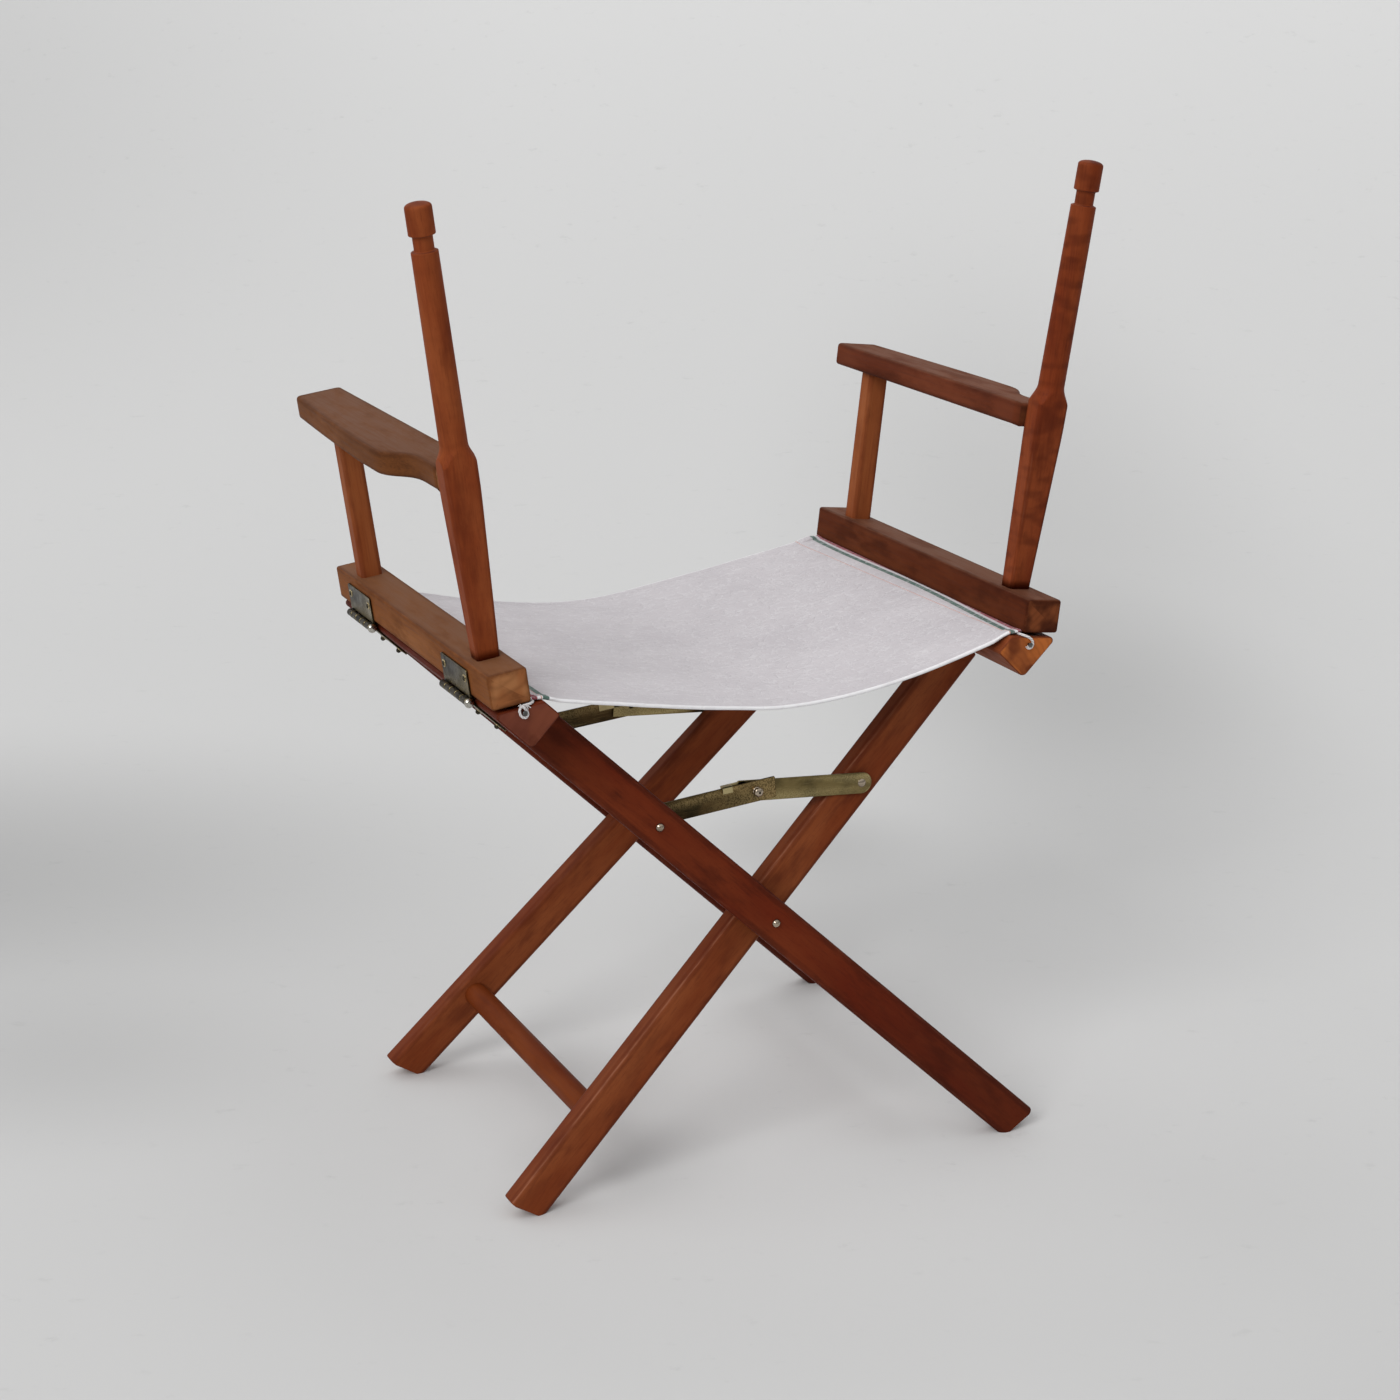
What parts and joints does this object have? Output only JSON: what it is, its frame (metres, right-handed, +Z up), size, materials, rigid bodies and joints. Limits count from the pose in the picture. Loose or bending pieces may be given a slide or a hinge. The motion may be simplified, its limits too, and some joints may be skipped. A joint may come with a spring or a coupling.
{
  "type": "folding chair",
  "caption": "Folding director's chair frame with a sling canvas seat, crossed wooden legs, hinged arms with back posts, and folding metal braces.",
  "frame": {"origin": "on the floor, midway between the four feet", "axes": "+Z up, the sitter faces -Y, the sitter's left is +X"},
  "size_m": [0.595, 0.3938, 0.8376],
  "materials": {
    "stained_wood": "reddish-brown stain under worn satin varnish",
    "worn_wood": "the same stain, worn paler on the hand-rubbed tops",
    "hinge_steel": "dark, dulled plating",
    "brace_steel": "thin brassed steel, tarnished olive",
    "nickel": "slightly dulled nickel plating",
    "canvas": "plain-weave cotton canvas, off-white with a green and a red edge stripe",
    "cord": "twisted cotton cord"
  },
  "bodies": {
    "outer_frame": {"left_seat_rail": "stained_wood", "rear_outer_leg": "stained_wood", "front_outer_leg": "stained_wood", "outer_stretcher": "stained_wood", "left_front_hinge_lower_leaf": "hinge_steel", "left_rear_hinge_lower_leaf": "hinge_steel", "left_front_cord_nail": "nickel", "left_rear_cord_nail": "nickel", "left_hem_cord": "cord", "rear_pivot_bolt": "nickel", "rear_pivot_spacer": "hinge_steel", "rear_pivot_nut": "nickel", "rear_brace_bolt": "nickel", "rear_brace_spacer": "hinge_steel", "front_pivot_bolt": "nickel", "front_pivot_spacer": "hinge_steel", "front_pivot_nut": "nickel", "front_brace_bolt": "nickel", "front_brace_spacer": "hinge_steel", "seat_canvas": "canvas"},
    "inner_frame": {"right_seat_rail": "stained_wood", "rear_inner_leg": "stained_wood", "front_inner_leg": "stained_wood", "inner_stretcher": "stained_wood", "right_front_hinge_lower_leaf": "hinge_steel", "right_rear_hinge_lower_leaf": "hinge_steel", "right_front_cord_nail": "nickel", "right_rear_cord_nail": "nickel", "right_hem_cord": "cord"},
    "left_arm": {"left_arm_rail": "worn_wood", "left_front_post": "stained_wood", "left_back_post": "stained_wood", "left_armrest": "worn_wood", "left_front_hinge_upper_leaf": "hinge_steel", "left_rear_hinge_upper_leaf": "hinge_steel", "left_front_hinge_pin": "nickel", "left_rear_hinge_pin": "nickel"},
    "right_arm": {"right_arm_rail": "worn_wood", "right_front_post": "stained_wood", "right_back_post": "stained_wood", "right_armrest": "worn_wood", "right_front_hinge_upper_leaf": "hinge_steel", "right_rear_hinge_upper_leaf": "hinge_steel", "right_front_hinge_pin": "nickel", "right_rear_hinge_pin": "nickel"},
    "rear_left_link": {"rear_brace_left_link": "brace_steel", "rear_brace_knuckle_rivet": "nickel"},
    "rear_right_link": {"rear_brace_right_link": "brace_steel", "rear_brace_end_rivet": "nickel"},
    "front_left_link": {"front_brace_left_link": "brace_steel", "front_brace_knuckle_rivet": "nickel"},
    "front_right_link": {"front_brace_right_link": "brace_steel", "front_brace_end_rivet": "nickel"}
  },
  "joints": [
    {"name": "fold", "type": "hinge", "parent": "outer_frame", "child": "inner_frame", "pos_m": [0, 0, 0.22533], "axis": [0, 1, 0], "range_deg": [0, 75], "deforming": ["seat_canvas"]},
    {"name": "left_arm_hinge", "type": "hinge", "parent": "outer_frame", "child": "left_arm", "pos_m": [0.2556, 0, 0.44579], "axis": [0, 1, 0], "range_deg": [0, 38]},
    {"name": "right_arm_hinge", "type": "hinge", "parent": "inner_frame", "child": "right_arm", "pos_m": [-0.2556, 0, 0.44579], "axis": [0, 1, 0], "range_deg": [-38, 0]},
    {"name": "rear_brace_anchor", "type": "hinge", "parent": "outer_frame", "child": "rear_left_link", "pos_m": [0.09965, 0.133, 0.32223], "axis": [0, 1, 0], "range_deg": [0, 112]},
    {"name": "rear_brace_knuckle", "type": "hinge", "parent": "rear_left_link", "child": "rear_right_link", "pos_m": [0, 0.133, 0.33059], "axis": [0, 1, 0], "range_deg": [-148, 0]},
    {"name": "front_brace_anchor", "type": "hinge", "parent": "outer_frame", "child": "front_left_link", "pos_m": [0.09965, -0.133, 0.32223], "axis": [0, 1, 0], "range_deg": [0, 112]},
    {"name": "front_brace_knuckle", "type": "hinge", "parent": "front_left_link", "child": "front_right_link", "pos_m": [0, -0.133, 0.33059], "axis": [0, 1, 0], "range_deg": [-148, 0]}
  ],
  "couplings": [
    {"joint": "left_arm_hinge", "follows": "fold", "ratio": 0.5},
    {"joint": "right_arm_hinge", "follows": "fold", "ratio": -0.5},
    {"joint": "rear_brace_anchor", "follows": "fold", "ratio": 1.4818},
    {"joint": "rear_brace_knuckle", "follows": "fold", "ratio": -1.9636},
    {"joint": "front_brace_anchor", "follows": "fold", "ratio": 1.4818},
    {"joint": "front_brace_knuckle", "follows": "fold", "ratio": -1.9636}
  ]
}
